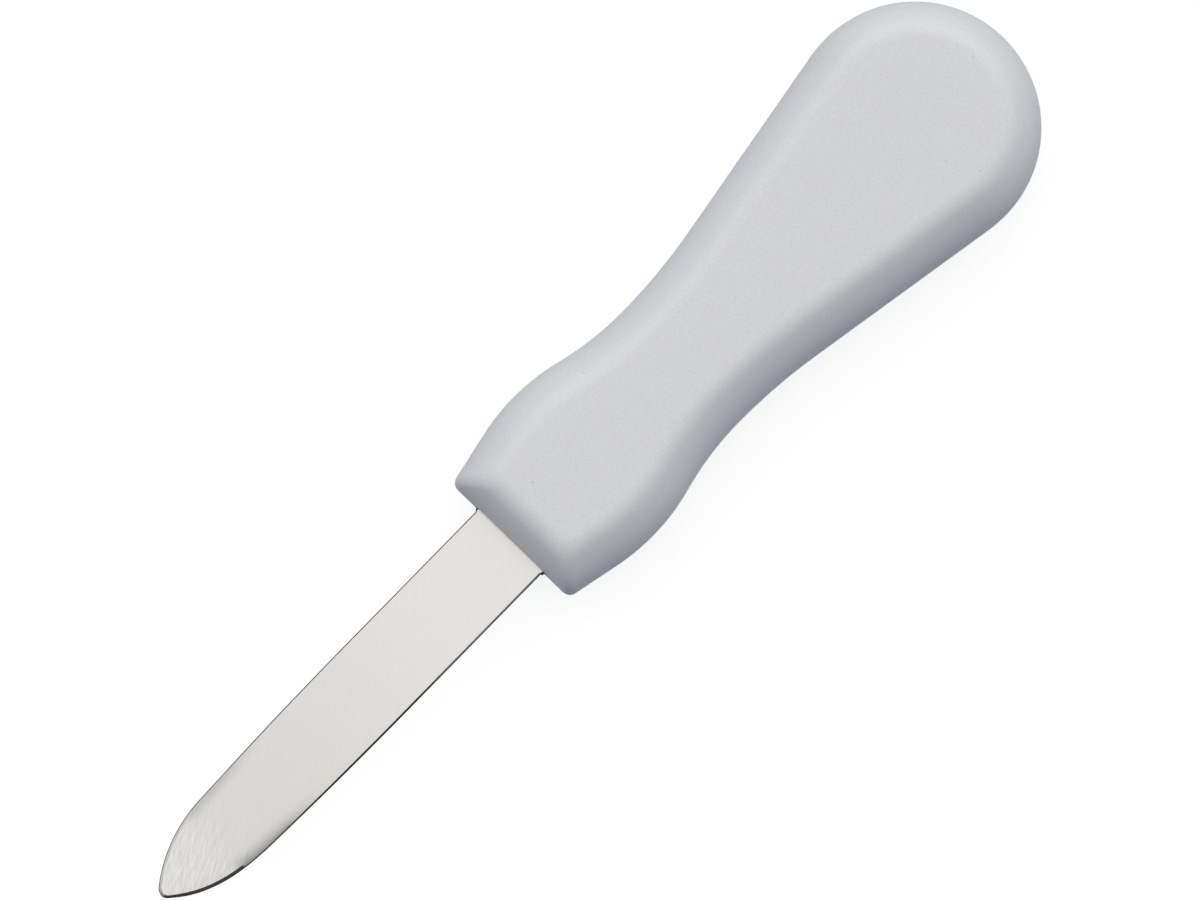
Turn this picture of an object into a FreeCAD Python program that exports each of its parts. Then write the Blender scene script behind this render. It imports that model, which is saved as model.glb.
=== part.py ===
# Oyster knife: a stamped steel blade whose tang is moulded into a polypropylene handle.
import FreeCAD, Part
import os
from math import asin, atan2, cos, hypot, pi, radians, sin, tan

import Sketcher

# Driving sizes, in millimetres and degrees.
# Along the knife, "from the front" is from the front of the handle, where the blade comes out.
SIZES = {
    "blade_length": (69.63, "front of the handle to the point"),
    "blade_width": (12.57, "across the straight sides"),
    "blade_thickness": (2.4, "sheet that the blade is stamped from"),
    "belly_length": (43.0, "from the point back to where the sides run straight"),
    "belly_drop": (0.54, "how far each side has drawn in where the nose begins"),
    "nose_length": (13.0, "from the point back to where the nose begins"),
    "tip_radius": (1.65, "blunt round of the point"),
    "edge_ease": (0.2, "chamfer that takes the burr off the blade's edges"),
    "neck_depth": (7.0, "full-width steel behind the front"),
    "tang_step": (1.9, "how far each side steps in from the neck to the tang"),
    "tang_end_wall": (27.4, "plastic between the end of the tang and the butt"),
    "key_hole_diameter": (4.6, "holes in the tang that the plastic fills"),
    "handle_length": (99.62, "front to butt"),
    "handle_thickness": (19.0, "between the two flats"),
    "bulge_at": (14.6, "widest point of the finger guard, from the front"),
    "bulge_width": (27.62, "across the finger guard"),
    "bulge_radius": (31.5, "roundness of the finger guard"),
    "flank_angle": (12.0, "flare of the sides from the front to the finger guard"),
    "waist_behind": (19.65, "from the finger guard back to the waist"),
    "waist_recess": (2.53, "how far each side draws in from the guard to the waist"),
    "waist_run": (7.25, "from the waist back to where the straight flare would meet it"),
    "butt_width": (35.66, "across the round butt"),
    "side_crown": (4.9, "how far the flats' edge lies inside the parting line"),
    "front_crown": (3.5, "the same at the front"),
    "corner_radius": (1.4, "front corners at the parting line"),
    "flat_corner_radius": (2.4, "front corners at the flats"),
    "flat_edge_radius": (3.9, "round between a flat and the walls"),
    "mouth_radius": (0.35, "lip of plastic round the blade"),
}
KEY_HOLES = 3

# Heights of the handle's outlines above the parting plane, as shares of half its thickness.
LEVELS = (0.0, 0.25, 0.5, 0.75, 1.0)

# The walls draw in with this power of the level: upright at the parting line, fuller towards the flats.
WALL_POWER = 2.4

# Ends and centre of a line or arc, and the sketch's own axis and origin.
START, END, CENTRE = range(1, 4)
ORIGIN = (-1, START)
X_AXIS = ORIGIN[0]

doc = FreeCAD.newDocument("oyster_knife")
sheet = doc.addObject("Spreadsheet::Sheet", "Sizes")
for row, (name, (value, meaning)) in enumerate(SIZES.items(), start=1):
    sheet.set(f"A{row}", name)
    sheet.set(f"B{row}", str(value))
    sheet.setAlias(f"B{row}", name)
    sheet.set(f"C{row}", meaning)
doc.recompute()

# Lengths that follow from the sheet, as formulas for the sketches.
TANG_LENGTH = "(Sizes.handle_length - Sizes.tang_end_wall)"
WAIST_AT = "(Sizes.bulge_at + Sizes.waist_behind)"
WAIST_HALF = "(Sizes.bulge_width / 2 - Sizes.waist_recess)"
BUTT_CENTRE_AT = "(Sizes.handle_length - Sizes.butt_width / 2)"


def size(name):
    """Present value of a cell of the sheet."""
    return float(sheet.get(name))


def point(x, y):
    return FreeCAD.Vector(x, y, 0)


def polar(centre, radius, direction):
    return centre + direction * radius


def mirrored(spot):
    """The same spot on the other side of the knife's axis."""
    return None if spot is None else point(spot.x, -spot.y)


class Run:
    """One line or arc of an outline, drawn anticlockwise round the piece.

    A hollow arc curves into the piece. A smooth run is tangent to the run before it.
    """

    def __init__(self, start, end, centre=None, hollow=False, smooth=True):
        self.start = start
        self.end = end
        self.centre = centre
        self.hollow = hollow
        self.smooth = smooth
        self.first = END if hollow else START
        self.last = START if hollow else END
        self.index = None

    def reflection(self):
        return Run(mirrored(self.end), mirrored(self.start), mirrored(self.centre), self.hollow)

    def draw(self, sketch):
        if self.centre is None:
            shape = Part.LineSegment(self.start, self.end)
        else:
            begin, finish = (self.end, self.start) if self.hollow else (self.start, self.end)
            circle = Part.Circle(self.centre, FreeCAD.Vector(0, 0, 1), (begin - self.centre).Length)
            first = atan2(begin.y - self.centre.y, begin.x - self.centre.x)
            last = atan2(finish.y - self.centre.y, finish.x - self.centre.x)
            shape = Part.ArcOfCircle(circle, first, last if last > first else last + 2 * pi)
        self.index = sketch.addGeometry(shape, False)


def draw_symmetrical(sketch, front, half):
    """Close an outline: front crosses the axis, half goes on from its end to the axis at the rear."""
    other_half = [run.reflection() for run in reversed(half)]
    for run in [front] + half + other_half:
        run.draw(sketch)
    for before, after in zip([front] + half, half):
        kind = "Tangent" if after.smooth else "Coincident"
        sketch.addConstraint(Sketcher.Constraint(kind, before.index, before.last, after.index, after.first))
    for before, after in zip([half[-1]] + other_half, other_half + [front]):
        sketch.addConstraint(
            Sketcher.Constraint("Coincident", before.index, before.last, after.index, after.first))
    sketch.addConstraint(Sketcher.Constraint("Symmetric", front.index, START, front.index, END, X_AXIS))
    sketch.addConstraint(Sketcher.Constraint("PointOnObject", half[-1].index, half[-1].last, X_AXIS))
    for run, twin in zip(half, reversed(other_half)):
        if run is not half[0]:
            sketch.addConstraint(
                Sketcher.Constraint("Symmetric", run.index, run.first, twin.index, twin.last, X_AXIS))
        if run.centre is not None:
            sketch.addConstraint(Sketcher.Constraint("Equal", run.index, twin.index))


def drawn_size(sketch, kind, places):
    """What a dimension measures in a sketch as it is drawn."""
    if kind == "Radius":
        return sketch.Geometry[places[0]].Radius
    if kind == "Angle":
        line = sketch.Geometry[places[0]]
        along = line.EndPoint - line.StartPoint
        return atan2(along.y, along.x)
    gap = sketch.getPoint(*places[2:]) - sketch.getPoint(*places[:2])
    return gap.x if kind == "DistanceX" else gap.y


def dimension(sketch, name, kind, places, formula):
    """A named dimension of a sketch, bound to a formula on the sheet."""
    index = sketch.addConstraint(Sketcher.Constraint(kind, *places, drawn_size(sketch, kind, places)))
    sketch.renameConstraint(index, name)
    sketch.setExpression(f"Constraints.{name}", formula)


def behind_front(run, place):
    """Places for the distance of a spot of a run behind the front of the handle."""
    return (run.index, place) + ORIGIN


def above_axis(run, place):
    """Places for the distance of a spot of a run from the knife's axis."""
    return ORIGIN + (run.index, place)


def new_sketch(body, name, height=None):
    """Sketch on the parting plane, or at a height above it."""
    sketch = body.newObject("Sketcher::SketchObject", name)
    plane = next(feature for feature in body.Origin.OriginFeatures if feature.Role == "XY_Plane")
    sketch.AttachmentSupport = [(plane, "")]
    sketch.MapMode = "FlatFace"
    if height is not None:
        sketch.setExpression("AttachmentOffset.Base.z", height)
    return sketch


def new_body(name):
    """A body in the knife's frame: it lies on a flat, with the middle of its length over the origin."""
    body = doc.addObject("PartDesign::Body", name)
    body.Label = name
    body.setExpression("Placement.Base.x", "(Sizes.handle_length - Sizes.blade_length) / 2")
    body.setExpression("Placement.Base.z", "Sizes.handle_thickness / 2")
    return body


def edges_where(feature, wanted):
    """Names of a feature's edges whose box, in the body's own frame, is wanted."""
    return [f"Edge{number}" for number, edge in enumerate(feature.Shape.Edges, start=1)
            if wanted(edge.BoundBox)]


def tang_runs(side_start):
    """Straight side from side_start back to the neck's end, step, tang and half of its end."""
    half_width = size("blade_width") / 2
    tang_half = half_width - size("tang_step")
    neck_end = -size("neck_depth")
    tang_end = size("tang_end_wall") - size("handle_length")
    corners = [side_start, point(neck_end, half_width), point(neck_end, tang_half),
               point(tang_end, tang_half), point(tang_end, 0)]
    return [Run(start, end, smooth=False) for start, end in zip(corners, corners[1:])]


def set_out_tang(sketch, side, step, tang, tang_end):
    """Dimensions and keying holes that the tang and its cavity in the handle share."""
    for run in (side, tang):
        sketch.addConstraint(Sketcher.Constraint("Horizontal", run.index))
    for run in (step, tang_end):
        sketch.addConstraint(Sketcher.Constraint("Vertical", run.index))
    dimension(sketch, "half_width", "DistanceY", above_axis(side, side.last), "Sizes.blade_width / 2")
    dimension(sketch, "tang_half", "DistanceY", above_axis(tang, tang.first),
              "Sizes.blade_width / 2 - Sizes.tang_step")
    dimension(sketch, "neck_depth", "DistanceX", behind_front(side, side.last), "Sizes.neck_depth")
    dimension(sketch, "tang_length", "DistanceX", behind_front(tang, tang.last), TANG_LENGTH)
    for hole in range(KEY_HOLES):
        share = (2 * hole + 1) / (2 * KEY_HOLES)
        place = f"Sizes.neck_depth + ({TANG_LENGTH} - Sizes.neck_depth) * {share:.6f}"
        centre = tang.start + (tang.end - tang.start) * share
        circle = Part.Circle(point(centre.x, 0), FreeCAD.Vector(0, 0, 1), size("key_hole_diameter") / 2)
        index = sketch.addGeometry(circle, False)
        sketch.addConstraint(Sketcher.Constraint("PointOnObject", index, CENTRE, X_AXIS))
        dimension(sketch, f"hole_{hole}", "DistanceX", (index, CENTRE) + ORIGIN, place)
        dimension(sketch, f"hole_{hole}_radius", "Radius", (index,), "Sizes.key_hole_diameter / 2")


def blade_outline(body):
    """Round point, nose, belly and straight sides, with the tang behind."""
    length = size("blade_length")
    half_width = size("blade_width") / 2
    tip_radius = size("tip_radius")
    belly_start = point(length - size("belly_length"), half_width)
    nose_start = point(length - size("nose_length"), half_width - size("belly_drop"))
    along = nose_start.x - belly_start.x
    drop = size("belly_drop")
    belly_turn = 2 * atan2(drop, along)
    belly_centre = belly_start - point(0, (along ** 2 + drop ** 2) / (2 * drop))
    tip_centre = point(length - tip_radius, 0)
    inward = point(-sin(belly_turn), -cos(belly_turn))
    reach = nose_start - tip_centre
    nose_radius = (reach.Length ** 2 - tip_radius ** 2) / (-2 * (reach.dot(inward) + tip_radius))
    nose_centre = polar(nose_start, nose_radius, inward)
    tip_start = polar(tip_centre, tip_radius, (tip_centre - nose_centre).normalize())

    sketch = new_sketch(body, "blade_outline")
    tip = Run(mirrored(tip_start), tip_start, tip_centre)
    nose = Run(tip_start, nose_start, nose_centre)
    belly = Run(nose_start, belly_start, belly_centre)
    tang = tang_runs(belly_start)
    tang[0].smooth = True
    draw_symmetrical(sketch, tip, [nose, belly] + tang)
    set_out_tang(sketch, *tang)
    dimension(sketch, "tip_radius", "Radius", (tip.index,), "Sizes.tip_radius")
    dimension(sketch, "tip_centre", "DistanceX", ORIGIN + (tip.index, CENTRE),
              "Sizes.blade_length - Sizes.tip_radius")
    dimension(sketch, "nose_half", "DistanceY", above_axis(nose, nose.last),
              "Sizes.blade_width / 2 - Sizes.belly_drop")
    dimension(sketch, "nose_start", "DistanceX", ORIGIN + (nose.index, nose.last),
              "Sizes.blade_length - Sizes.nose_length")
    dimension(sketch, "belly_start", "DistanceX", ORIGIN + (belly.index, belly.last),
              "Sizes.blade_length - Sizes.belly_length")
    return sketch


def make_blade():
    body = new_body("blade")
    pad = body.newObject("PartDesign::Pad", "blade_stamping")
    pad.Profile = blade_outline(body)
    pad.SideType = "Symmetric"
    pad.setExpression("Length", "Sizes.blade_thickness")
    doc.recompute()

    face = size("blade_thickness") / 2
    ease = body.newObject("PartDesign::Chamfer", "blade_edges")
    ease.Base = (pad, edges_where(pad, lambda box: abs(abs(box.ZMin) - face) < 1e-4
                                  and box.ZLength < 1e-4 and box.XMax > 1e-4))
    ease.setExpression("Size", "Sizes.edge_ease")
    doc.recompute()
    return body


def handle_outline(body, number, level):
    """Outline of the handle at one level: the parting line, drawn in evenly towards a flat."""
    share = level ** WALL_POWER
    inset = f"Sizes.side_crown * {share:.4f}"
    front_inset = f"Sizes.front_crown * {share:.4f}"
    corner = f"Sizes.corner_radius + (Sizes.flat_corner_radius - Sizes.corner_radius) * {share:.4f}"
    draw_in = size("side_crown") * share
    front_x = -size("front_crown") * share
    corner_radius = size("corner_radius") + (size("flat_corner_radius") - size("corner_radius")) * share

    # Finger guard, and the flank in front of it.
    guard_radius = size("bulge_radius")
    guard_centre = point(-size("bulge_at"), size("bulge_width") / 2 - guard_radius)
    angle = radians(size("flank_angle"))
    flank_out = point(sin(angle), cos(angle))
    flank_rear = polar(guard_centre, guard_radius - draw_in, flank_out)
    corner_x = front_x - corner_radius
    along = (corner_x - flank_rear.x + corner_radius * sin(angle)) / cos(angle)
    corner_centre = flank_rear + point(cos(angle), -sin(angle)) * along - flank_out * corner_radius
    flank_front = polar(corner_centre, corner_radius, flank_out)
    front_end = point(front_x, corner_centre.y)

    # Waist: one arc towards the guard, a flatter one towards the butt.
    waist_x = -size("bulge_at") - size("waist_behind")
    waist_half = size("bulge_width") / 2 - size("waist_recess")
    recess = size("waist_recess")
    waist_front_radius = (size("waist_behind") ** 2 + recess ** 2) / (2 * recess) - guard_radius
    waist_front_centre = point(waist_x, waist_half + waist_front_radius)
    guard_rear = polar(guard_centre, guard_radius - draw_in,
                       (waist_front_centre - guard_centre).normalize())
    waist = point(waist_x, waist_half - draw_in)

    # Straight flare, tangent to the butt.
    butt_radius = size("butt_width") / 2
    butt_centre = point(butt_radius - size("handle_length"), 0)
    run_left = waist_x - size("waist_run") - butt_centre.x
    flare = asin(butt_radius / hypot(run_left, waist_half)) - atan2(waist_half, run_left)
    flare_out = point(sin(flare), cos(flare))
    waist_rear_radius = size("waist_run") / tan(flare / 2)
    waist_rear_centre = point(waist_x, waist_half + waist_rear_radius)
    flare_front = polar(waist_rear_centre, waist_rear_radius + draw_in, -flare_out)
    flare_rear = polar(butt_centre, butt_radius - draw_in, flare_out)
    butt_end = butt_centre - point(butt_radius - draw_in, 0)

    sketch = new_sketch(body, f"handle_outline_{number}", f"Sizes.handle_thickness / 2 * {level:.4f}")
    front = Run(mirrored(front_end), front_end)
    corner_run = Run(front_end, flank_front, corner_centre)
    flank = Run(flank_front, flank_rear)
    guard = Run(flank_rear, guard_rear, guard_centre)
    waist_front = Run(guard_rear, waist, waist_front_centre, hollow=True)
    waist_rear = Run(waist, flare_front, waist_rear_centre, hollow=True)
    flare_run = Run(flare_front, flare_rear)
    butt = Run(flare_rear, butt_end, butt_centre)
    draw_symmetrical(sketch, front, [corner_run, flank, guard, waist_front, waist_rear, flare_run, butt])

    dimension(sketch, "front", "DistanceX", (butt.index, CENTRE, front.index, START),
              f"{BUTT_CENTRE_AT} - {front_inset}")
    dimension(sketch, "corner_radius", "Radius", (corner_run.index,), corner)
    dimension(sketch, "flank_angle", "Angle", (flank.index,), "180 - Sizes.flank_angle")
    dimension(sketch, "guard_at", "DistanceX", behind_front(guard, CENTRE), "Sizes.bulge_at")
    dimension(sketch, "guard_drop", "DistanceY", (guard.index, CENTRE) + ORIGIN,
              "Sizes.bulge_radius - Sizes.bulge_width / 2")
    dimension(sketch, "guard_radius", "Radius", (guard.index,), f"Sizes.bulge_radius - {inset}")
    dimension(sketch, "waist_front_at", "DistanceX", behind_front(waist_front, CENTRE), WAIST_AT)
    dimension(sketch, "waist_rear_at", "DistanceX", behind_front(waist_rear, CENTRE), WAIST_AT)
    dimension(sketch, "waist_half", "DistanceY", above_axis(waist_rear, waist_rear.first),
              f"{WAIST_HALF} - {inset}")
    sketch.addConstraint(Sketcher.Constraint("PointOnObject", butt.index, CENTRE, X_AXIS))
    dimension(sketch, "butt_at", "DistanceX", behind_front(butt, CENTRE), BUTT_CENTRE_AT)
    dimension(sketch, "butt_radius", "Radius", (butt.index,), f"Sizes.butt_width / 2 - {inset}")
    if level == 0:
        # The flare, carried on forwards, meets the waist's own level at waist_run behind the waist.
        meeting = point(waist_x - size("waist_run"), waist_half)
        guide = sketch.addGeometry(Part.LineSegment(waist, meeting), True)
        sketch.addConstraint(
            Sketcher.Constraint("Coincident", guide, START, waist_rear.index, waist_rear.first))
        sketch.addConstraint(Sketcher.Constraint("Horizontal", guide))
        sketch.addConstraint(Sketcher.Constraint("PointOnObject", guide, END, flare_run.index))
        dimension(sketch, "waist_run", "DistanceX", (guide, END, guide, START), "Sizes.waist_run")
        index = sketch.addConstraint(Sketcher.Constraint("Radius", waist_rear.index, waist_rear_radius))
        sketch.setDriving(index, False)
        sketch.renameConstraint(index, "waist_rear_radius")
    else:
        dimension(sketch, "waist_rear_radius", "Radius", (waist_rear.index,),
                  f"handle_outline_0.Constraints.waist_rear_radius / 1 mm + {inset}")
    return sketch


def make_handle():
    body = new_body("handle")
    outlines = []
    for number, level in enumerate(LEVELS):
        outlines.append(handle_outline(body, number, level))
        doc.recompute()
    crown = body.newObject("PartDesign::AdditiveLoft", "upper_half")
    crown.Profile = outlines[0]
    crown.Sections = outlines[1:]
    doc.recompute()

    both = body.newObject("PartDesign::Mirrored", "both_halves")
    both.Originals = [crown]
    plane = next(feature for feature in body.Origin.OriginFeatures if feature.Role == "XY_Plane")
    both.MirrorPlane = (plane, [""])
    body.Tip = both
    doc.recompute()

    flat = size("handle_thickness") / 2
    rounds = body.newObject("PartDesign::Fillet", "flat_edges")
    rounds.Base = (both, edges_where(both, lambda box: box.ZLength < 1e-4
                                     and abs(abs(box.ZMin) - flat) < 1e-4))
    rounds.setExpression("Radius", "Sizes.flat_edge_radius")
    doc.recompute()

    # The plastic is moulded onto the steel, so its cavity has the tang's own sizes.
    reach = size("front_crown")
    half_width = size("blade_width") / 2
    side_start = point(reach, half_width)
    sketch = new_sketch(body, "tang_cavity_outline")
    mouth = Run(mirrored(side_start), side_start)
    tang = tang_runs(side_start)
    draw_symmetrical(sketch, mouth, tang)
    set_out_tang(sketch, *tang)
    dimension(sketch, "reach", "DistanceX", ORIGIN + (mouth.index, START), "Sizes.front_crown")
    cavity = body.newObject("PartDesign::Pocket", "tang_cavity")
    cavity.Profile = sketch
    cavity.SideType = "Symmetric"
    cavity.setExpression("Length", "Sizes.blade_thickness")
    doc.recompute()

    slot = size("blade_thickness") / 2
    lip = body.newObject("PartDesign::Fillet", "mouth_lip")
    lip.Base = (cavity, edges_where(cavity, lambda box: box.XMin > -reach / 4
                                    and abs(box.ZMin) < slot + 1e-4 and abs(box.ZMax) < slot + 1e-4
                                    and box.YMax < half_width + 1e-4 and box.YMin > -half_width - 1e-4))
    lip.setExpression("Radius", "Sizes.mouth_radius")
    doc.recompute()
    return body


pieces = [make_blade(), make_handle()]
doc.recompute()

for item in doc.Objects:
    if "Invalid" in item.State or "Error" in item.State:
        raise RuntimeError(f"{item.Name} failed: {item.State}")
for piece in pieces:
    if piece.Shape.isNull() or not piece.Shape.isValid() or len(piece.Shape.Solids) != 1:
        raise RuntimeError(f"{piece.Label} is not one valid solid")

os.makedirs("parts", exist_ok=True)
for piece in pieces:
    piece.Shape.exportStep(f"parts/{piece.Label}.step")
    box = piece.Shape.optimalBoundingBox(False)
    print(f"{piece.Label}: {piece.Shape.Volume / 1000:.2f} cm3, {len(piece.Shape.Faces)} faces")
    print(f"  X {box.XMin:.2f} {box.XMax:.2f}, Y {box.YMin:.2f} {box.YMax:.2f}, Z {box.ZMin:.2f} {box.ZMax:.2f}")
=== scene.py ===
# %% [markdown]
# # An oyster knife in white plastic and satin steel
# The knife has two pieces. The blade is stamped from stainless sheet.
# The handle is polypropylene, moulded round the blade's tang, so the two can't come apart.
# The exact solids of both are loaded first and stay where they are.
# Each then gets a visual piece in the same place, with the finer shapes and the finish.

# %% Load the solids
from math import asin, atan, atan2, cos, degrees, exp, hypot, pi, radians, sin, sqrt, tan

import bmesh
import bpy
from mathutils import Matrix, Vector


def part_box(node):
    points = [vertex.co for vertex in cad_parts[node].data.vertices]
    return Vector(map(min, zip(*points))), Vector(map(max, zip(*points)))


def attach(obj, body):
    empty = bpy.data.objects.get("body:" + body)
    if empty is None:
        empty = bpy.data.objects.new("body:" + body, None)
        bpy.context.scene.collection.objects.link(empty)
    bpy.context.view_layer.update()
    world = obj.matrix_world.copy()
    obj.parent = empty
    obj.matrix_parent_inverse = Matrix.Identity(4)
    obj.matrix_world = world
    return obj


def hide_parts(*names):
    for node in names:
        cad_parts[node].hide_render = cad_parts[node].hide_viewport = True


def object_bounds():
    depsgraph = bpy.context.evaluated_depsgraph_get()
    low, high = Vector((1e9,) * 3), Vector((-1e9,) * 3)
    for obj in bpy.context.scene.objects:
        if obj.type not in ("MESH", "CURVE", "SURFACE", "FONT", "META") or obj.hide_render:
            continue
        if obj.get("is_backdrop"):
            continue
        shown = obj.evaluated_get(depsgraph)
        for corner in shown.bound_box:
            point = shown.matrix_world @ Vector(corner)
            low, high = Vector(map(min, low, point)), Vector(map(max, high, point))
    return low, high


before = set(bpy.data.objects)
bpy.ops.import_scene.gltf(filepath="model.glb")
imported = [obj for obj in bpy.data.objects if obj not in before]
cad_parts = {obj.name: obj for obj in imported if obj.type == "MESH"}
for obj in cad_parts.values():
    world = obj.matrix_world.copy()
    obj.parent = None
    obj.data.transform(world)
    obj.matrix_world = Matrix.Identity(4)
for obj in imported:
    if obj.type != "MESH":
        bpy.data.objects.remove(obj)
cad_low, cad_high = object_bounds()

MM = 0.001
handle_low, handle_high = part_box("handle")
PARTING_Z = (handle_low.z + handle_high.z) / 2
print(f"knife: {[round(side / MM, 2) for side in cad_high - cad_low]} mm")

# %% [markdown]
# ## The camera
# The photograph looks almost straight down, from a little in front of the knife and to one side of it.
# A long lens from a metre away keeps the outline nearly free of perspective.
# The aim is the spot of the parting plane in the middle of the picture.
# The lens follows from the width of that plane which the picture takes in.

# %% Camera
VIEW_AZIMUTH = radians(134.224)
VIEW_ELEVATION = radians(84.0)
VIEW_DISTANCE = 1.0
PICTURE_WIDTH = 168.684 * MM
AIM = Vector((-2.966 * MM, 0.052 * MM, PARTING_Z))
SENSOR_WIDTH = 36.0

scene = bpy.context.scene
back = Vector((sin(VIEW_AZIMUTH) * cos(VIEW_ELEVATION),
               -cos(VIEW_AZIMUTH) * cos(VIEW_ELEVATION),
               sin(VIEW_ELEVATION)))
camera = bpy.data.objects.new("camera", bpy.data.cameras.new("camera"))
scene.collection.objects.link(camera)
camera.data.sensor_width = SENSOR_WIDTH
camera.data.lens = SENSOR_WIDTH * VIEW_DISTANCE / PICTURE_WIDTH
camera.location = AIM + back * VIEW_DISTANCE
camera.rotation_euler = (-back).to_track_quat("-Z", "Y").to_euler()
camera.data.clip_start = VIEW_DISTANCE / 100
camera.data.clip_end = VIEW_DISTANCE * 100
scene.camera = camera
print(f"camera at {[round(place, 3) for place in camera.location]} m, lens {camera.data.lens:.0f} mm")

# %% [markdown]
# ## Building with nodes
# The light and the finishes are all made of shader nodes: ramps, sums and blends of colours.
# Each kind gets a short helper that makes the node, joins its inputs and hands on its output.
# A finish then reads as a list of steps, from the place on the piece to the colour.

# %% Node helpers
# A Mix node's colour sockets share their names with others, so they are taken by number.
MIX_FACTOR, MIX_A, MIX_B, MIX_RESULT = 0, 6, 7, 2


def add_node(tree, kind, inputs=None, **settings):
    """A new node. Each input is given as a value, or as the output (node, name) to join to it."""
    node = tree.nodes.new(kind)
    for name, value in settings.items():
        setattr(node, name, value)
    for name, value in (inputs or {}).items():
        if isinstance(value, tuple) and isinstance(value[0], bpy.types.Node):
            wire(tree, value, (node, name))
        else:
            node.inputs[name].default_value = value
    return node


def wire(tree, source, target):
    """Join an output (node, name) to an input (node, name)."""
    tree.links.new(source[0].outputs[source[1]], target[0].inputs[target[1]])


def reckon(tree, operation, *inputs, clamp=False):
    """The output of a Math node."""
    node = add_node(tree, "ShaderNodeMath", dict(enumerate(inputs)), operation=operation, use_clamp=clamp)
    return node, "Value"


def ramp(tree, value, start, end, low=0.0, high=1.0, curve="LINEAR"):
    """The output of a Map Range node: low where the value is at start, high where it is at end."""
    inputs = {"Value": value, "From Min": start, "From Max": end, "To Min": low, "To Max": high}
    return add_node(tree, "ShaderNodeMapRange", inputs, interpolation_type=curve), "Result"


def blend(tree, share, first, second, mode="MIX"):
    """The output of a Mix node for two colours."""
    inputs = {MIX_FACTOR: share, MIX_A: first, MIX_B: second}
    return add_node(tree, "ShaderNodeMix", inputs, data_type="RGBA", blend_type=mode), MIX_RESULT


def new_material(name):
    """A material, its node tree and its shader."""
    material = bpy.data.materials.new(name)
    material.use_nodes = True
    return material, material.node_tree, material.node_tree.nodes["Principled BSDF"]


# %% [markdown]
# ## The studio
# The walls of the handle show how the knife was lit. Those on the left are almost as bright as the flat.
# The walls on the right and at the front fall off to a bluish grey.
# So the light is a broad tent of white cloth that leans to the butt and the left.
# Past the top it fades into a dim, slightly blue room.
# Lamps would show as patches in the steel, so a world does this without a seam.
# The angle from the middle of the tent blends one colour into the other.
# The steel mirrors a paler room than the one that lights the knife, and the camera sees a white backdrop.

# %% Light
TENT_AXIS = Vector((-0.655, -0.535, 0.53)).normalized()
TENT_FULL = radians(66)
TENT_END = radians(118)
TENT_COLOUR = (1.172, 1.167, 1.151, 1)
ROOM_COLOUR = (0.02, 0.03, 0.07, 1)
ROOM_SHOWN = (0.38, 0.38, 0.39, 1)
BACKDROP = (1, 1, 1, 1)

scene.view_settings.view_transform = "Standard"
world = bpy.data.worlds.new("tent")
scene.world = world
world.use_nodes = True
tree = world.node_tree
place = add_node(tree, "ShaderNodeTexCoord")
lean = add_node(tree, "ShaderNodeVectorMath", {0: (place, "Generated"), 1: TENT_AXIS},
                operation="DOT_PRODUCT")
angle = reckon(tree, "ARCCOSINE", (lean, "Value"))
fade = ramp(tree, angle, TENT_FULL, TENT_END, curve="SMOOTHSTEP")
path = add_node(tree, "ShaderNodeLightPath")
mirrored = reckon(tree, "ADD", (path, "Is Glossy Ray"), (path, "Is Transmission Ray"), clamp=True)
room = blend(tree, mirrored, ROOM_COLOUR, ROOM_SHOWN)
light = blend(tree, fade, TENT_COLOUR, room)
shown = blend(tree, (path, "Is Camera Ray"), light, BACKDROP)
wire(tree, shown, (tree.nodes["Background"], "Color"))
print(f"tent round {[round(part, 2) for part in TENT_AXIS]}, room {ROOM_COLOUR[:3]}")

# %% [markdown]
# ## The floor
# The knife lies on plain paper that the photograph shows as white.
# To the camera and in the steel, the paper glows a little and keeps the knife's shadow.
# For light that bounces on it is dull and bluish, so it doesn't fill the shaded walls.

# %% Floor
FLOOR_SIZE = 6.0
PAPER_GLOW = 0.8
PAPER_COLOUR = (0.3, 0.3, 0.3, 1)
PAPER_BOUNCE = (0.03, 0.075, 0.18, 1)

mesh = bpy.data.meshes.new("floor")
bm = bmesh.new()
bmesh.ops.create_grid(bm, x_segments=1, y_segments=1, size=FLOOR_SIZE / 2)
bm.to_mesh(mesh)
bm.free()
floor = bpy.data.objects.new("floor", mesh)
scene.collection.objects.link(floor)
floor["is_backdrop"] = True

paper, tree, skin = new_material("paper")
tree.nodes.remove(skin)
path = add_node(tree, "ShaderNodeLightPath")
mirrored = reckon(tree, "ADD", (path, "Is Glossy Ray"), (path, "Is Transmission Ray"))
seen = reckon(tree, "ADD", (path, "Is Camera Ray"), mirrored, clamp=True)
bounce = add_node(tree, "ShaderNodeBsdfDiffuse", {"Color": PAPER_BOUNCE})
sheet = add_node(tree, "ShaderNodeBsdfDiffuse", {"Color": PAPER_COLOUR})
glow = add_node(tree, "ShaderNodeEmission", {"Strength": PAPER_GLOW})
white = add_node(tree, "ShaderNodeAddShader", {0: (sheet, "BSDF"), 1: (glow, "Emission")})
choose = add_node(tree, "ShaderNodeMixShader", {0: seen, 1: (bounce, "BSDF"), 2: (white, "Shader")})
wire(tree, (choose, "Shader"), (tree.nodes["Material Output"], "Surface"))
mesh.materials.append(paper)
print(f"floor {FLOOR_SIZE} m wide")

# %% [markdown]
# ## Drawing outlines
# Both pieces are flat forms whose outline is made of lines and arcs.
# So a line is drawn as a draughtsman would: from a first point, straight on or round a centre.
# Drawn again with smaller arcs it is the same outline further in, point for point.
# Neighbouring lines can then be bridged by faces.
# Only a quarter of a piece is drawn. It is mirrored across the knife and across the parting plane.

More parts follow.
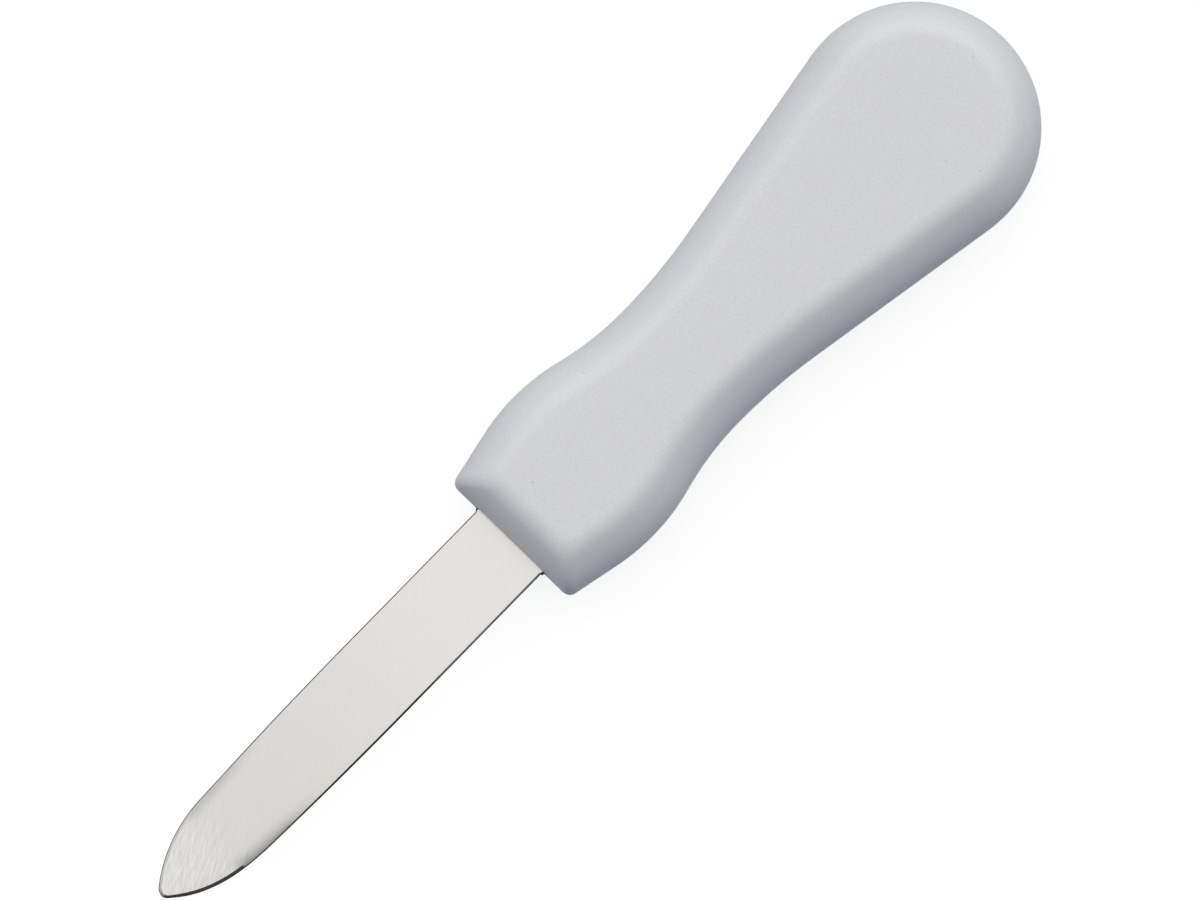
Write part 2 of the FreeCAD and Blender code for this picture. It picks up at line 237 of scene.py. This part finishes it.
# %% Drawing helpers
class Pencil:
    """A line of edges at one height, in millimetres from the front of the handle on the parting plane."""

    def __init__(self, bm, x, y, height):
        self.bm = bm
        self.verts = bmesh.ops.create_vert(bm, co=(x, y, height))["vert"]

    def straight(self, x, y, steps=1):
        """Draw straight on to a point."""
        step = (Vector((x, y, self.verts[-1].co.z)) - self.verts[-1].co) / steps
        for _ in range(steps):
            tail = bmesh.ops.extrude_vert_indiv(self.bm, verts=[self.verts[-1]])["verts"]
            bmesh.ops.translate(self.bm, verts=tail, vec=step)
            self.verts += tail

    def arc(self, x, y, turn, steps):
        """Draw on round a centre."""
        pivot = (x, y, self.verts[-1].co.z)
        for _ in range(steps):
            tail = bmesh.ops.extrude_vert_indiv(self.bm, verts=[self.verts[-1]])["verts"]
            bmesh.ops.rotate(self.bm, verts=tail, cent=pivot, matrix=Matrix.Rotation(turn / steps, 3, "Z"))
            self.verts += tail

    def edges(self):
        """The edges of this line alone, without those of faces on it."""
        return [edge for vert in self.verts for edge in vert.link_edges
                if edge.other_vert(vert) in self.verts]


def bridge(bm, lines):
    """Faces between each line and the next."""
    runs = [list(dict.fromkeys(line.edges())) for line in lines]
    for near, far in zip(runs, runs[1:]):
        bmesh.ops.bridge_loops(bm, edges=near + far)


def mirror(bm, axis):
    """The same again on the other side of a plane, joined along it."""
    bmesh.ops.mirror(bm, geom=bm.verts[:] + bm.edges[:] + bm.faces[:], axis=axis, merge_dist=0.001)
    bmesh.ops.remove_doubles(bm, verts=bm.verts, dist=0.0005)
    bmesh.ops.dissolve_degenerate(bm, dist=0.0001, edges=bm.edges)


# %% Hand-over helper
TO_KNIFE = Matrix.Translation((handle_high.x, 0, PARTING_Z)) @ Matrix.Scale(MM, 4)
CREASE = radians(15)


def hand_over(bm, name, material, node):
    """Turn a finished drawing into a piece that stands for a solid of the knife."""
    bmesh.ops.recalc_face_normals(bm, faces=bm.faces)
    for face in bm.faces:
        face.smooth = True
    for edge in bm.edges:
        edge.smooth = len(edge.link_faces) == 2 and edge.calc_face_angle() < CREASE
    bmesh.ops.transform(bm, matrix=TO_KNIFE, verts=bm.verts)
    open_edges = sum(not edge.is_manifold for edge in bm.edges)
    mesh = bpy.data.meshes.new(name)
    bm.to_mesh(mesh)
    bm.free()
    piece = bpy.data.objects.new(name, mesh)
    scene.collection.objects.link(piece)
    mesh.materials.append(material)
    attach(piece, "root")
    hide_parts(node)
    print(f"{name}: {len(mesh.polygons)} faces, {open_edges} open edges")


# %% [markdown]
# ## White polypropylene
# The plastic is a cool white. The mould's flats are sparked to a fine stipple, and its walls are smoother.
# The stipple is a third of a millimetre wide and so shallow that it only mottles the light.
# As geometry it would need millions of faces, so a noise gives it as a shade and a bump.
# The noise is a group of nodes, because the steel uses it too.

# %% Grain group
NOISE_DETAIL = 2.0
NOISE_ROUGHNESS = 0.6

grain = bpy.data.node_groups.new("grain", "ShaderNodeTree")
grain.interface.new_socket("Vector", in_out="INPUT", socket_type="NodeSocketVector")
grain.interface.new_socket("Amount", in_out="INPUT", socket_type="NodeSocketFloat")
grain.interface.new_socket("Shade", in_out="OUTPUT", socket_type="NodeSocketFloat")
grain.interface.new_socket("Height", in_out="OUTPUT", socket_type="NodeSocketFloat")
given = add_node(grain, "NodeGroupInput")
noise = add_node(grain, "ShaderNodeTexNoise", {"Vector": (given, "Vector"), "Scale": 1.0,
                                               "Detail": NOISE_DETAIL, "Roughness": NOISE_ROUGHNESS})
signed = reckon(grain, "SUBTRACT", (noise, "Fac"), 0.5)
shade = reckon(grain, "MULTIPLY_ADD", signed, (given, "Amount"), 1.0)
add_node(grain, "NodeGroupOutput", {"Shade": shade, "Height": (noise, "Fac")})
print(f"grain group of {len(grain.nodes)} nodes")

# %% Stipple of the flats
STIPPLE = 0.34 * MM
STIPPLE_SHADE = 0.22
STIPPLE_DEPTH = 0.02 * MM
FLAT_HEIGHT = (handle_high.z - handle_low.z) / 2
WALL_END = FLAT_HEIGHT * 0.9
FLAT_START = FLAT_HEIGHT * 0.99
WALL_ROUGHNESS = 0.48
FLAT_ROUGHNESS = 0.58
PLASTIC_GLOSS = 0.06

plastic, tree, skin = new_material("white_polypropylene")
skin.inputs["Specular IOR Level"].default_value = PLASTIC_GLOSS
place = add_node(tree, "ShaderNodeTexCoord")
spot = add_node(tree, "ShaderNodeSeparateXYZ", {"Vector": (place, "Object")})
rise = reckon(tree, "SUBTRACT", (spot, "Z"), PARTING_Z)
reach = reckon(tree, "ABSOLUTE", rise)
flat = ramp(tree, reach, WALL_END, FLAT_START, curve="SMOOTHSTEP")
matt = ramp(tree, flat, 0.0, 1.0, WALL_ROUGHNESS, FLAT_ROUGHNESS)
size = add_node(tree, "ShaderNodeMapping", {"Vector": (place, "Object"), "Scale": (1 / STIPPLE,) * 3})
stipple = add_node(tree, "ShaderNodeGroup", {"Vector": (size, "Vector"), "Amount": STIPPLE_SHADE},
                   node_tree=grain)
bump = add_node(tree, "ShaderNodeBump",
                {"Strength": flat, "Height": (stipple, "Height"), "Distance": STIPPLE_DEPTH})
wire(tree, matt, (skin, "Roughness"))
wire(tree, (bump, "Normal"), (skin, "Normal"))
print(f"stipple {STIPPLE / MM:.2f} mm wide and {STIPPLE_DEPTH / MM:.2f} mm deep")

# %% [markdown]
# ## Specks and the gap round the blade
# A few dark specks are burnt grains that most mouldings of this kind have.
# A cell pattern spreads them without a list of places: only the middle of a cell is dark.
# The plastic inside the mouth is coloured near-black as painted shade, for the deep gap there lies in
# shadow.

# %% Specks
PLASTIC_COLOUR = (0.70, 0.705, 0.727, 1)
SPECK_SPACING = 6 * MM
SPECK_SHADE = 0.6
SPECK_CORE = 0.012
SPECK_EDGE = 0.028

spread = add_node(tree, "ShaderNodeTexVoronoi", {"Vector": (place, "Object"), "Scale": 1 / SPECK_SPACING})
speck = ramp(tree, (spread, "Distance"), SPECK_CORE, SPECK_EDGE, SPECK_SHADE, 1.0)
mottle = reckon(tree, "MULTIPLY", (stipple, "Shade"), speck)
tint = blend(tree, 1.0, PLASTIC_COLOUR, mottle, "MULTIPLY")
print(f"plastic {PLASTIC_COLOUR[:3]}, specks about {2 * SPECK_EDGE * SPECK_SPACING / MM:.2f} mm wide")

# %% Painted shade in the gap
# The near-black colour is painted shade for the plastic inside the mouth.
GAP_PAINTED_SHADE = (0.01, 0.01, 0.01, 1)
GAP_WIDTH = 6.7 * MM, 6.86 * MM
GAP_HEIGHT = 1.26 * MM, 1.28 * MM
GAP_DEPTH = handle_high.x - 8 * MM, handle_high.x - 7.9 * MM

side = reckon(tree, "ABSOLUTE", (spot, "Y"))
across = ramp(tree, side, *GAP_WIDTH, 1.0, 0.0)
between = ramp(tree, reach, *GAP_HEIGHT, 1.0, 0.0)
inside = ramp(tree, (spot, "X"), *GAP_DEPTH)
slot = reckon(tree, "MULTIPLY", across, between)
# Painted shade: near-black inside the front of the mouth.
painted_gap_shade = reckon(tree, "MULTIPLY", slot, inside)
wire(tree, blend(tree, painted_gap_shade, tint, GAP_PAINTED_SHADE), (skin, "Base Color"))
print(f"dark up to {GAP_WIDTH[0] / MM:.2f} mm to each side and {GAP_HEIGHT[0] / MM:.2f} mm up and down")

# %% [markdown]
# ## The handle's form
# The outline runs from the front round the finger guard, through the waist and along the flare to the butt.
# Each wall bows in towards the flat and ends in a generous round.
# So the outline is drawn at a row of heights, drawn in by what the wall has at each.
# The flats are domed by a few hundredths of a millimetre, which lets the light fade gently at their edges.
# A thin bead on the parting plane is where the halves of the mould met.

# %% Handle sizes
HALF_THICKNESS = 9.5
FLANK = radians(12)
GUARD_RADIUS = 31.5
GUARD_HALF = 13.81
GUARD_X = -14.6
GUARD = Vector((GUARD_X, GUARD_HALF - GUARD_RADIUS))
WAIST_BACK = 19.65
WAIST_DROP = 2.53
WAIST_RUN = 7.25
BUTT_RADIUS = 17.83
HANDLE_LENGTH = 99.62

WAIST_X = GUARD.x - WAIST_BACK
WAIST_HALF = GUARD_HALF - WAIST_DROP
WAIST_FRONT_RADIUS = (WAIST_BACK ** 2 + WAIST_DROP ** 2) / (2 * WAIST_DROP) - GUARD_RADIUS
WAIST_FRONT = Vector((WAIST_X, WAIST_HALF + WAIST_FRONT_RADIUS))
GUARD_END = atan2(WAIST_FRONT.y - GUARD.y, WAIST_FRONT.x - GUARD.x)
BUTT = Vector((BUTT_RADIUS - HANDLE_LENGTH, 0))
FLARE_RUN = WAIST_X - WAIST_RUN - BUTT.x
FLARE = asin(BUTT_RADIUS / hypot(FLARE_RUN, WAIST_HALF)) - atan2(WAIST_HALF, FLARE_RUN)
WAIST_REAR_RADIUS = WAIST_RUN / tan(FLARE / 2)
print(f"flare {degrees(FLARE):.2f} degrees")
print(f"waist radii {WAIST_FRONT_RADIUS:.1f} and {WAIST_REAR_RADIUS:.1f} mm")

# %% Handle outline at a height
SIDE_CROWN = 4.9
FRONT_CROWN = 3.5
WALL_POWER = 2.4
FLAT_EDGE_RADIUS = 3.9
CORNER_RADIUS = 1.4
FLAT_CORNER_RADIUS = 2.4
MOUTH_HALF_WIDTH = 6.95
MOUTH_LIMIT = 0.72
SETTLING_ROUNDS = 30


def wall_inset(height, crown):
    """How far a wall has drawn in at a height: a shallow bow, then the round onto the flat."""
    bow_end = HALF_THICKNESS
    for _ in range(SETTLING_ROUNDS):
        tilt = atan(WALL_POWER * crown / HALF_THICKNESS * (bow_end / HALF_THICKNESS) ** (WALL_POWER - 1))
        bow_end = HALF_THICKNESS - FLAT_EDGE_RADIUS * (1 - sin(tilt))
    if height <= bow_end:
        return crown * (height / HALF_THICKNESS) ** WALL_POWER
    rise = height - HALF_THICKNESS + FLAT_EDGE_RADIUS
    flat_inset = crown * (bow_end / HALF_THICKNESS) ** WALL_POWER + FLAT_EDGE_RADIUS * cos(tilt)
    return flat_inset - sqrt(FLAT_EDGE_RADIUS ** 2 - rise ** 2)


def handle_line(bm, height, bead=0.0):
    """Half of the handle's outline at a height, from the middle of the front to the end of the butt."""
    share = (height / HALF_THICKNESS) ** WALL_POWER
    inset = wall_inset(height, SIDE_CROWN) - bead
    front = bead - wall_inset(height, FRONT_CROWN)
    rounding = CORNER_RADIUS + (FLAT_CORNER_RADIUS - CORNER_RADIUS) * share
    rounding -= wall_inset(height, SIDE_CROWN) - SIDE_CROWN * share
    flank_out = Vector((sin(FLANK), cos(FLANK)))
    flank_rear = GUARD + flank_out * (GUARD_RADIUS - inset)
    along = (front - rounding - flank_rear.x + rounding * sin(FLANK)) / cos(FLANK)
    corner = flank_rear + Vector((cos(FLANK), -sin(FLANK))) * along - flank_out * rounding
    flare_rear = BUTT + Vector((sin(FLARE), cos(FLARE))) * (BUTT_RADIUS - inset)

    line = Pencil(bm, front, 0, height)
    line.straight(front, min(MOUTH_HALF_WIDTH, MOUTH_LIMIT * corner.y))
    line.straight(front, corner.y, steps=3)
    line.arc(*corner, pi / 2 - FLANK, steps=6)
    line.straight(*flank_rear, steps=4)
    line.arc(*GUARD, GUARD_END - pi / 2 + FLANK, steps=14)
    line.arc(*WAIST_FRONT, pi / 2 - GUARD_END, steps=10)
    line.arc(WAIST_X, WAIST_HALF + WAIST_REAR_RADIUS, -FLARE, steps=8)
    line.straight(*flare_rear, steps=10)
    line.arc(*BUTT, pi / 2 + FLARE, steps=28)
    return line


print(f"the flat lies {wall_inset(HALF_THICKNESS, SIDE_CROWN):.2f} mm inside the outline")

# %% Handle walls
PARTING_BEAD = 0.04
MOUTH_HALF_HEIGHT = 1.29
BOW_HEIGHTS = [0.05, 0.6, MOUTH_HALF_HEIGHT, 2.4, 3.6, 4.8, 5.8, 6.7, 7.4]
ROUND_ANGLES = [55, 50, 45, 40, 35, 30, 25, 20, 15, 10, 6, 2]
DOME_INSETS = [0.4, 0.9, 1.5, 2.2, 3.0, 3.9]
DOME_RISE = 0.06

bm = bmesh.new()
lines = [handle_line(bm, 0, PARTING_BEAD)]
lines += [handle_line(bm, height) for height in BOW_HEIGHTS]
for angle in ROUND_ANGLES:
    drop = FLAT_EDGE_RADIUS * (1 - cos(radians(angle)))
    lines.append(handle_line(bm, HALF_THICKNESS - drop))
for inset in DOME_INSETS:
    line = handle_line(bm, HALF_THICKNESS, -inset)
    lift = DOME_RISE * (1 - (1 - inset / DOME_INSETS[-1]) ** 2)
    bmesh.ops.translate(bm, verts=line.verts, vec=(0, 0, lift))
    lines.append(line)
bridge(bm, lines)
print(f"handle: {len(lines)} lines, {len(bm.faces)} faces between them")

# %% Opening for the mouth, and flats
DOME_FOOT = 2.4
FLAT_BORDER = 0.5
NEAR = 0.001
FRONT_DEPTH = 1.0

mouth = [face for face in bm.faces
         if max(vert.co.y for vert in face.verts) < MOUTH_HALF_WIDTH + NEAR
         and max(vert.co.z for vert in face.verts) < MOUTH_HALF_HEIGHT + NEAR
         and min(vert.co.x for vert in face.verts) > -FRONT_DEPTH]
bmesh.ops.delete(bm, geom=mouth, context="FACES")
mirror(bm, "Y")
top = HALF_THICKNESS + DOME_RISE
rim = [edge for edge in bm.edges if all(vert.co.z > top - NEAR for vert in edge.verts)]
panel = bmesh.ops.contextual_create(bm, geom=rim)["faces"]
bmesh.ops.inset_region(bm, faces=panel, thickness=FLAT_BORDER)
for vert in bm.verts:
    vert.co.z -= DOME_RISE * max(0, vert.co.z - DOME_FOOT) / (top - DOME_FOOT)
mirror(bm, "Z")
print(f"handle: {len(mouth)} faces cut out for the mouth, {len(bm.faces)} left")

# %% [markdown]
# ## The mouth of the handle
# The blade comes out of a slot. On the long sides the plastic lies on the steel.
# On the short sides it shrank away a little, so a small gap is left at each corner of the blade, which
# painted shade darkens.
# The slot's rim is carried inwards to hold the tang, first with a slight flare.
# Extruding the rim does this in a few steps, where a cut with a tang's shape would leave ragged faces.

# %% Handle mouth
TANG_END = -72.22
NECK_END = -7.0
CLEARANCE = 0.1
# Each step has its depth behind the front, its half width and its half height.
LIP = [(-0.06, 6.82, 1.25), (-0.18, 6.72, 1.225), (-0.4, 6.66, 1.215), (-1.4, 6.64, 1.21)]
TUNNEL = [(NECK_END - CLEARANCE, 6.62, 1.21), (NECK_END - CLEARANCE, 4.48, 1.19),
          (TANG_END - CLEARANCE, 4.48, 1.18)]

opening = [edge for edge in bm.edges if edge.is_boundary]
width, height = MOUTH_HALF_WIDTH, MOUTH_HALF_HEIGHT
for depth, half_width, half_height in LIP + TUNNEL:
    made = bmesh.ops.extrude_edge_only(bm, edges=opening)["geom"]
    verts = [item for item in made if isinstance(item, bmesh.types.BMVert)]
    opening = [item for item in made if isinstance(item, bmesh.types.BMEdge) and item.is_boundary]
    bmesh.ops.scale(bm, verts=verts, vec=(0, half_width / width, half_height / height))
    bmesh.ops.translate(bm, verts=verts, vec=(depth, 0, 0))
    width, height = half_width, half_height
bmesh.ops.contextual_create(bm, geom=opening)
hand_over(bm, "handle_moulding", plastic, "handle")

# %% [markdown]
# ## Satin steel
# The blade is ground on a belt after it is stamped. Its faces reflect the tent as a soft, even grey.
# The belt left lines at a slant to the blade. They are faint along the faces and strong at the point.
# The lines are the grain group again, stretched along the belt's direction.
# They shade the steel and don't bend its reflection, because the satin is too fine to be seen as grooves.

# %% Belt lines
BELT_TURN = radians(27.5)
BELT_LINE = Vector((2.6, 0.17, 2.6)) * MM
FACE_LINES = 0.12
POINT_LINES = 0.8
EDGE_GLOSS = 0.0


def tip_x(distance):
    """The x of a place so many millimetres behind the tip."""
    return cad_high.x - distance * MM


COARSE_SPAN = tip_x(17), tip_x(5)

steel, tree, skin = new_material("satin_steel")
skin.inputs["Specular IOR Level"].default_value = EDGE_GLOSS
place = add_node(tree, "ShaderNodeTexCoord")
spot = add_node(tree, "ShaderNodeSeparateXYZ", {"Vector": (place, "Object")})
turned = add_node(tree, "ShaderNodeSeparateXYZ", {"Vector": (place, "Normal")})
# This is 1 where a face lies level and 0 where it stands upright.
level = reckon(tree, "ABSOLUTE", (turned, "Z"))
belt = add_node(tree, "ShaderNodeMapping",
                {"Vector": (place, "Object"), "Rotation": (0, 0, BELT_TURN), "Scale": BELT_LINE},
                vector_type="TEXTURE")
amount = ramp(tree, (spot, "X"), *COARSE_SPAN, FACE_LINES, POINT_LINES, "SMOOTHSTEP")
scratches = add_node(tree, "ShaderNodeGroup", {"Vector": (belt, "Vector"), "Amount": amount},
                     node_tree=grain)
print(f"belt lines {BELT_LINE.y / MM:.2f} mm wide at {degrees(BELT_TURN):.1f} degrees")

# %% Ground faces
STEEL_COLOUR = (0.675, 0.67, 0.65, 1)
# The faces are coloured darker from 62 to 16 mm behind the tip, and lighter from 13 to 6 mm.
DIMMING = 0.89
DIMMED_SPAN = tip_x(62), tip_x(16)
POINT_SHADE = 1.06
POINT_SPAN = tip_x(13), tip_x(6)
# The rolls along the sides are coloured darker the more they tilt: painted shade.
ROLL_PAINTED_SHADE = 0.78
ROLL_SHADE_LEVEL = 0.93, 0.995

dimmed = ramp(tree, (spot, "X"), *DIMMED_SPAN, 1.0, DIMMING, "SMOOTHSTEP")
bright = ramp(tree, (spot, "X"), *POINT_SPAN, 1.0, POINT_SHADE, "SMOOTHSTEP")
# Painted shade: darker colour where a face tilts away from level.
painted_roll_shade = ramp(tree, level, *ROLL_SHADE_LEVEL, ROLL_PAINTED_SHADE, 1.0)
lengthwise = reckon(tree, "MULTIPLY", dimmed, bright)
soft = reckon(tree, "MULTIPLY", lengthwise, painted_roll_shade)
shade = reckon(tree, "MULTIPLY", soft, (scratches, "Shade"))
tint = blend(tree, 1.0, STEEL_COLOUR, shade, "MULTIPLY")
print(f"steel {STEEL_COLOUR[:3]}, {DIMMING:.0%} as bright behind the point")

# %% [markdown]
# ## Sheared edges
# The press sheared the edges, and no belt reached them, so they stay rough. Their dark colour is painted
# shade for the dark surroundings that they mirror.
# The way a face is turned tells an edge from a ground face, so the painted shade needs no second material.
# Round the nose the broken edge gets the painted shade on the right and stays bright steel on the left.
# Near the handle the painted shade is lighter on the right. The neck's shoulder in the mouth is coloured
# dark as painted shade for the gaps at the blade's corners.

# %% Mask of the painted edge shade
BEVEL_AT = 11.0
BEVEL_FADE = 0.3, -0.1
# The left of the nose bevel is lifted to bright steel. On the right the bevel keeps the painted shade.
NOSE_LEFT_LIFT = 0.1
NOSE_LEFT_FADE = 0.5 * MM
GROUND_LEVEL = 0.8, 0.87
# Beyond this half width the shoulder is coloured dark: painted shade for the gap at the corners of the
# mouth.
SHOULDER_SHADE_SIDE = 6.26 * MM, 6.3 * MM

nose = ramp(tree, (spot, "X"), *[tip_x(BEVEL_AT + fade) for fade in BEVEL_FADE])
left = ramp(tree, (spot, "Y"), -NOSE_LEFT_FADE, NOSE_LEFT_FADE, NOSE_LEFT_LIFT, 0.0)
# The nose bevel: bright steel on the left, painted shade on the right.
unshaded = reckon(tree, "MULTIPLY", nose, left)
raised = reckon(tree, "ADD", level, unshaded)
ground = ramp(tree, raised, *GROUND_LEVEL, curve="SMOOTHSTEP")
side = reckon(tree, "ABSOLUTE", (spot, "Y"))
# Painted shade on the shoulder: dark colour beyond the blade's width.
off_shoulder_shade = ramp(tree, side, *SHOULDER_SHADE_SIDE, 1.0, 0.0)
bare = reckon(tree, "MULTIPLY", ground, off_shoulder_shade)
print(f"bevel polished on the left, up to {BEVEL_AT} mm behind the tip")

# %% Painted edge shade and steel colours
# The dark edge colour is painted shade for the dark surroundings that the edges mirror.
EDGE_SHADE_COLOUR = (0.07, 0.073, 0.082, 1)
# Near the handle on the right the painted edge shade is lighter.
LIGHTER_EDGE_SHADE = (0.28, 0.28, 0.285, 1)
LIGHTER_EDGE_SPAN = tip_x(56), tip_x(44)
LIGHTER_EDGE_Y = 5.9 * MM
LIGHTER_EDGE_HALF = 0.4 * MM
EDGE_ROUGHNESS = 0.6
STEEL_ROUGHNESS = 0.32

# Where the painted edge shade is lighter: near the handle, on the right.
lighter_shade = ramp(tree, (spot, "X"), *LIGHTER_EDGE_SPAN, 1.0, 0.0)
right = reckon(tree, "COMPARE", (spot, "Y"), LIGHTER_EDGE_Y, LIGHTER_EDGE_HALF)
one_side = reckon(tree, "MULTIPLY", lighter_shade, right)
# Edges get the dark painted shade, lighter near the handle on the right; ground faces get the steel.
scale = blend(tree, one_side, EDGE_SHADE_COLOUR, LIGHTER_EDGE_SHADE)
wire(tree, blend(tree, bare, scale, tint), (skin, "Base Color"))
wire(tree, bare, (skin, "Metallic"))
wire(tree, ramp(tree, bare, 0.0, 1.0, EDGE_ROUGHNESS, STEEL_ROUGHNESS), (skin, "Roughness"))
print(f"scale {EDGE_SHADE_COLOUR[:3]}, rubbed {LIGHTER_EDGE_SHADE[:3]}")

# %% [markdown]
# ## The blade's form
# The outline is a blunt round point, a full nose, a belly that hardly swells, and straight sides.
# The press leaves a soft roll along the sides, and grinding thins and crowns the point.
# The point was ground by hand, a little further on the right.
# Round the nose the edge is broken with a wider bevel, which starts all at once.
# A shoulder just in front of the handle is a little wider than the blade.

# %% Blade sizes
BLADE_LENGTH = 69.63
BLADE_HALF_WIDTH = 6.285
TIP_RADIUS = 1.65
NOSE_AT = 13.0
BELLY_AT = 43.0
BELLY_DROP = 0.54

TIP = Vector((BLADE_LENGTH - TIP_RADIUS, 0))
nose_start = Vector((BLADE_LENGTH - NOSE_AT, BLADE_HALF_WIDTH - BELLY_DROP))
belly_start = Vector((BLADE_LENGTH - BELLY_AT, BLADE_HALF_WIDTH))
BELLY_RUN = BELLY_AT - NOSE_AT
BELLY_TURN = 2 * atan2(BELLY_DROP, BELLY_RUN)
BELLY = belly_start - Vector((0, (BELLY_RUN ** 2 + BELLY_DROP ** 2) / (2 * BELLY_DROP)))
inward = Vector((-sin(BELLY_TURN), -cos(BELLY_TURN)))
to_nose = nose_start - TIP
nose_radius = (to_nose.length_squared - TIP_RADIUS ** 2) / (-2 * (to_nose.dot(inward) + TIP_RADIUS))
NOSE = nose_start + inward * nose_radius
TIP_TURN = atan2(TIP.y - NOSE.y, TIP.x - NOSE.x)
NOSE_TURN = pi / 2 - BELLY_TURN - TIP_TURN
print(f"nose radius {nose_radius:.1f} mm, belly radius {belly_start.y - BELLY.y:.0f} mm")

# %% Blade outline at an inset
NECK_HALF_WIDTH = 6.55
SHOULDER_START = 0.4
SHOULDER_FULL = 0.3


def blade_line(bm, inset):
    """Half of the blade's outline, drawn in by an inset, from the point back to the end of the neck."""
    line = Pencil(bm, BLADE_LENGTH - inset, 0, 0)
    line.arc(*TIP, TIP_TURN, steps=6)
    line.arc(*NOSE, NOSE_TURN, steps=24)
    line.arc(*BELLY, BELLY_TURN, steps=16)
    line.straight(SHOULDER_START, BLADE_HALF_WIDTH - inset, steps=20)
    line.straight(SHOULDER_FULL, NECK_HALF_WIDTH - inset)
    line.straight(NECK_END, NECK_HALF_WIDTH - inset, steps=2)
    return line


# %% Blade heights
BLADE_HALF_THICKNESS = 1.2
THINNED = 0.3
THINNED_RUN = 22
# A span has the four places of a window, in millimetres behind the tip.
CROWNED = 0.8
CROWNED_SPAN = -2, 0, 5, 13
ROLL = 0.65
ROLL_SPAN = 8, 12, 15, 32
ROLL_WIDTH = 2.7
SIDE_GROUND = 0.028
SIDE_GROUND_SPAN = -2, -1, 10, 15.5
TIP_GROUND = 0.5
TIP_GROUND_RUN = 1.15


def window(value, start, full, end, gone):
    """A share that comes in between start and full and goes out between end and gone."""
    comes = min(max((value - start) / (full - start), 0), 1)
    goes = min(max((gone - value) / (gone - end), 0), 1)
    return comes ** 2 * (3 - 2 * comes) * goes ** 2 * (3 - 2 * goes)


def top_height(x, y, inset):
    """Height of the upper face: thinned and crowned towards the point, and rolled off along the sides."""
    behind_tip = BLADE_LENGTH - x
    thinned = THINNED * max(0, 1 - behind_tip / THINNED_RUN) ** 2
    crowned = CROWNED * (y / BLADE_HALF_WIDTH) ** 2 * window(behind_tip, *CROWNED_SPAN)
    roll = ROLL * window(behind_tip, *ROLL_SPAN) * max(0, 1 - inset / ROLL_WIDTH) ** 2
    return BLADE_HALF_THICKNESS - thinned - crowned - roll


def hand_ground(x):
    """Share of its width that the right half keeps, because the point was ground further there."""
    behind_tip = BLADE_LENGTH - x
    along_side = SIDE_GROUND * window(behind_tip, *SIDE_GROUND_SPAN)
    return 1 - along_side - TIP_GROUND * exp(-behind_tip / TIP_GROUND_RUN)


print(f"at the tip {2 * top_height(BLADE_LENGTH, 0, ROLL_WIDTH):.2f} mm thick")

# %% Blade faces
ROLL_INSETS = [0.5, 0.75, 1.0, 1.25, 1.45]
INNER_SHARES = [0.86, 0.6, 0.3, 0.12, 0]
INNER_INSETS = [2.13] + [ROLL_WIDTH] * 4

bm = bmesh.new()
middle, wall, lip, shoulder = [blade_line(bm, 0) for _ in range(4)]
rolls = [blade_line(bm, inset) for inset in ROLL_INSETS]
inner = []
for share in INNER_SHARES:
    line = blade_line(bm, ROLL_INSETS[-1])
    bmesh.ops.scale(bm, verts=line.verts, vec=(1, share, 1))
    inner.append(line)
for line, inset in zip(rolls + inner, ROLL_INSETS + INNER_INSETS):
    for vert in line.verts:
        vert.co.z = top_height(vert.co.x, vert.co.y, inset)
print(f"blade: {len(rolls)} lines along the roll and {len(inner)} inside")

# %% Blade edges
EASE = 0.16
NOSE_BEVEL = 0.46
NOSE_EASE = 0.68
SIDE_EASE = 0.72
BEVEL_SLOPE = 0.72

for low, eased, high, first in zip(wall.verts, lip.verts, shoulder.verts, rolls[0].verts):
    at_nose = BLADE_LENGTH - low.co.x < BEVEL_AT
    bevel = NOSE_BEVEL if at_nose else EASE
    out = first.co - low.co
    out.z = 0
    out.normalize()
    high.co = low.co + out * bevel
    high.co.z = top_height(high.co.x, high.co.y, bevel)
    ease = EASE * (NOSE_EASE if at_nose else SIDE_EASE)
    eased.co = low.co + out * ease
    eased.co.z = high.co.z - (bevel - ease) * BEVEL_SLOPE
    low.co.z = eased.co.z - EASE
bridge(bm, [middle, wall, lip, shoulder] + rolls + inner)
mirror(bm, "Y")
mirror(bm, "Z")
for vert in bm.verts:
    if vert.co.y > 0:
        vert.co.y *= hand_ground(vert.co.x)
print(f"blade: {len(bm.faces)} faces in front of the tang")

# %% [markdown]
# ## The tang
# In the handle the blade goes on as a narrower and slightly thinner tang, which nobody sees.
# The open end of the neck is closed by a face, which is drawn in and then carried back.

# %% Tang
TANG_HALF_WIDTH = 4.385
# Each step has the share of the width, the share of the thickness and the way back.
NARROWED = TANG_HALF_WIDTH / NECK_HALF_WIDTH, 0.98, 0
CARRIED = 1, 0.99, TANG_END - NECK_END

end = [edge for edge in bm.edges if edge.is_boundary]
rear = bmesh.ops.contextual_create(bm, geom=end)["faces"]
for narrower, thinner, run in (NARROWED, CARRIED):
    made = bmesh.ops.extrude_face_region(bm, geom=rear)["geom"]
    bmesh.ops.delete(bm, geom=rear, context="FACES_ONLY")
    rear = [item for item in made if isinstance(item, bmesh.types.BMFace)]
    verts = [item for item in made if isinstance(item, bmesh.types.BMVert)]
    bmesh.ops.scale(bm, verts=verts, vec=(1, narrower, thinner))
    bmesh.ops.translate(bm, verts=verts, vec=(run, 0, 0))
hand_over(bm, "blade_stamping", steel, "blade")

# %% [markdown]
# ## Size
# The box of the visual pieces is printed, beside the knife's box printed at the start.

low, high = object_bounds()
print(f"visual model {[round(side / MM, 2) for side in high - low]} mm")
